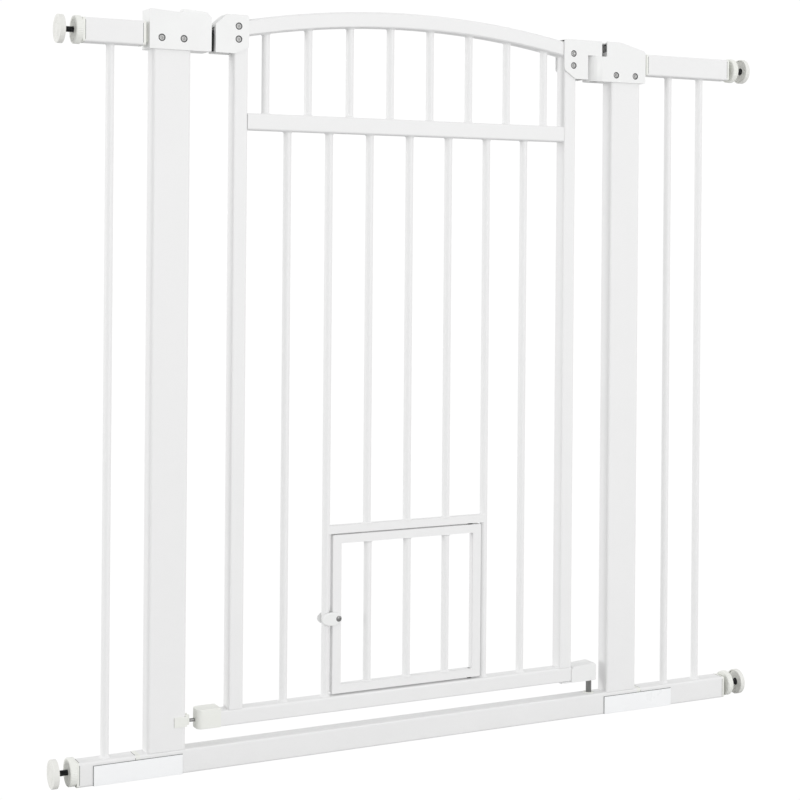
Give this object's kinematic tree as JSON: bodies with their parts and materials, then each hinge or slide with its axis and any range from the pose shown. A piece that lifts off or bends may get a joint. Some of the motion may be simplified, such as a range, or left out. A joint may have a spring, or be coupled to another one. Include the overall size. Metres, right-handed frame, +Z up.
{
  "type": "safety baby gate",
  "caption": "White pressure-mounted walk-through safety gate with an arched barred panel, a small pet door, a top bolt latch and wall pads on hand-nut spindles.",
  "frame": {"origin": "on the floor, at the middle of the threshold rail's underside between the two posts", "axes": "+X towards the hinge side along the gate, +Y away from the person facing the gate, +Z up"},
  "size_m": [1.1079, 0.0376, 1.0354],
  "materials": {
    "powder_coat": "white powder coat, satin",
    "white_plastic": "white moulded plastic, fine matt",
    "plate_white": "bright white, semi-gloss",
    "warm_plastic": "warm white moulded plastic",
    "pad_rubber": "warm white non-marking rubber",
    "zinc_steel": "bright zinc plate",
    "dark_steel": "black oxide"
  },
  "bodies": {
    "u_frame": {"latch_post": "powder_coat", "hinge_post": "powder_coat", "threshold_rail": "powder_coat", "latch_top_rail": "powder_coat", "latch_bottom_rail": "powder_coat", "hinge_top_rail": "powder_coat", "hinge_bottom_rail": "powder_coat", "latch_extension_bar": "powder_coat", "hinge_extension_bars": "powder_coat", "latch_joint_plate": "plate_white", "hinge_joint_plate": "plate_white", "spindle_plugs": "warm_plastic", "joint_plugs": "warm_plastic", "latch_housing_front": "white_plastic", "latch_housing_rear": "white_plastic", "hinge_housing_front": "white_plastic", "hinge_housing_rear": "white_plastic", "housing_rivets": "zinc_steel", "catch_clip": "warm_plastic", "pivot_bush": "warm_plastic", "latch_spring": "zinc_steel", "hinge_spring": "zinc_steel"},
    "hinge_turner": {"hinge_spindle": "zinc_steel"},
    "gate_panel": {"gate_latch_stile": "powder_coat", "gate_hinge_stile": "powder_coat", "gate_bottom_rail": "powder_coat", "gate_cross_rail": "powder_coat", "gate_arch_rail": "powder_coat", "upper_bars": "powder_coat", "latch_side_bars": "powder_coat", "middle_bars": "powder_coat", "hinge_side_bars": "powder_coat", "pet_opening_lintel": "powder_coat", "latch_bracket": "white_plastic", "hinge_bracket": "white_plastic", "gate_rivets": "zinc_steel", "bolt_cap": "warm_plastic", "catch_pin": "zinc_steel", "pivot_block": "white_plastic", "pivot_pin": "zinc_steel"},
    "pet_door": {"pet_door_frame": "powder_coat", "pet_door_bars": "powder_coat", "pet_door_pins": "dark_steel"},
    "pet_latch": {"pet_latch_front": "white_plastic", "pet_latch_rear": "white_plastic", "pet_latch_screw": "zinc_steel"},
    "latch_slide": {"thumb_slide": "white_plastic", "latch_bolt": "dark_steel"},
    "latch_bottom_screw": {"latch_bottom_spindle": "dark_steel", "latch_bottom_pad": "pad_rubber"},
    "latch_bottom_nut": {"latch_bottom_hand_nut": "warm_plastic"},
    "latch_top_screw": {"latch_top_spindle": "dark_steel", "latch_top_pad": "pad_rubber"},
    "latch_top_nut": {"latch_top_hand_nut": "warm_plastic"},
    "hinge_bottom_screw": {"hinge_bottom_spindle": "dark_steel", "hinge_bottom_pad": "pad_rubber"},
    "hinge_bottom_nut": {"hinge_bottom_hand_nut": "warm_plastic"},
    "hinge_top_screw": {"hinge_top_spindle": "dark_steel", "hinge_top_pad": "pad_rubber"},
    "hinge_top_nut": {"hinge_top_hand_nut": "warm_plastic"}
  },
  "joints": [
    {"name": "gate_swing", "type": "hinge", "parent": "u_frame", "child": "hinge_turner", "pos_m": [0.31165, 0, 0.95], "axis": [0, 0, 1], "range_deg": [-90, 90], "stiffness_Nm_per_rad": 0.6},
    {"name": "gate_lift", "type": "slide", "parent": "hinge_turner", "child": "gate_panel", "axis": [0, 0, 1], "range_m": [0, 0.012]},
    {"name": "pet_door_swing", "type": "hinge", "parent": "gate_panel", "child": "pet_door", "pos_m": [0.1039, 0, 0.19], "axis": [0, 0, 1], "range_deg": [-90, 90]},
    {"name": "pet_latch_turn", "type": "hinge", "parent": "pet_door", "child": "pet_latch", "pos_m": [-0.1097, 0, 0.1845], "axis": [0, 1, 0], "range_deg": [-90, 90]},
    {"name": "latch_slide_travel", "type": "slide", "parent": "u_frame", "child": "latch_slide", "axis": [-1, 0, 0], "range_m": [0, 0.012], "stiffness_N_per_m": 300, "springref_m": -0.004},
    {"name": "latch_bottom_nut_turn", "type": "hinge", "parent": "u_frame", "child": "latch_bottom_nut", "pos_m": [-0.4903, 0, 0.01875], "axis": [-1, 0, 0], "range_deg": [-3476, 6932]},
    {"name": "latch_bottom_screw_slide", "type": "slide", "parent": "u_frame", "child": "latch_bottom_screw", "axis": [-1, 0, 0], "range_m": [-0.012, 0.024]},
    {"name": "latch_top_nut_turn", "type": "hinge", "parent": "u_frame", "child": "latch_top_nut", "pos_m": [-0.4903, 0, 0.984], "axis": [-1, 0, 0], "range_deg": [-3476, 6932]},
    {"name": "latch_top_screw_slide", "type": "slide", "parent": "u_frame", "child": "latch_top_screw", "axis": [-1, 0, 0], "range_m": [-0.012, 0.024]},
    {"name": "hinge_bottom_nut_turn", "type": "hinge", "parent": "u_frame", "child": "hinge_bottom_nut", "pos_m": [0.563, 0, 0.01875], "axis": [1, 0, 0], "range_deg": [-3476, 6932]},
    {"name": "hinge_bottom_screw_slide", "type": "slide", "parent": "u_frame", "child": "hinge_bottom_screw", "axis": [1, 0, 0], "range_m": [-0.012, 0.024]},
    {"name": "hinge_top_nut_turn", "type": "hinge", "parent": "u_frame", "child": "hinge_top_nut", "pos_m": [0.563, 0, 0.984], "axis": [1, 0, 0], "range_deg": [-3476, 6932]},
    {"name": "hinge_top_screw_slide", "type": "slide", "parent": "u_frame", "child": "hinge_top_screw", "axis": [1, 0, 0], "range_m": [-0.012, 0.024]}
  ],
  "couplings": [
    {"joint": "latch_bottom_nut_turn", "follows": "latch_bottom_screw_slide", "rad_per_m": 5026.5},
    {"joint": "latch_top_nut_turn", "follows": "latch_top_screw_slide", "rad_per_m": 5026.5},
    {"joint": "hinge_bottom_nut_turn", "follows": "hinge_bottom_screw_slide", "rad_per_m": 5026.5},
    {"joint": "hinge_top_nut_turn", "follows": "hinge_top_screw_slide", "rad_per_m": 5026.5}
  ]
}
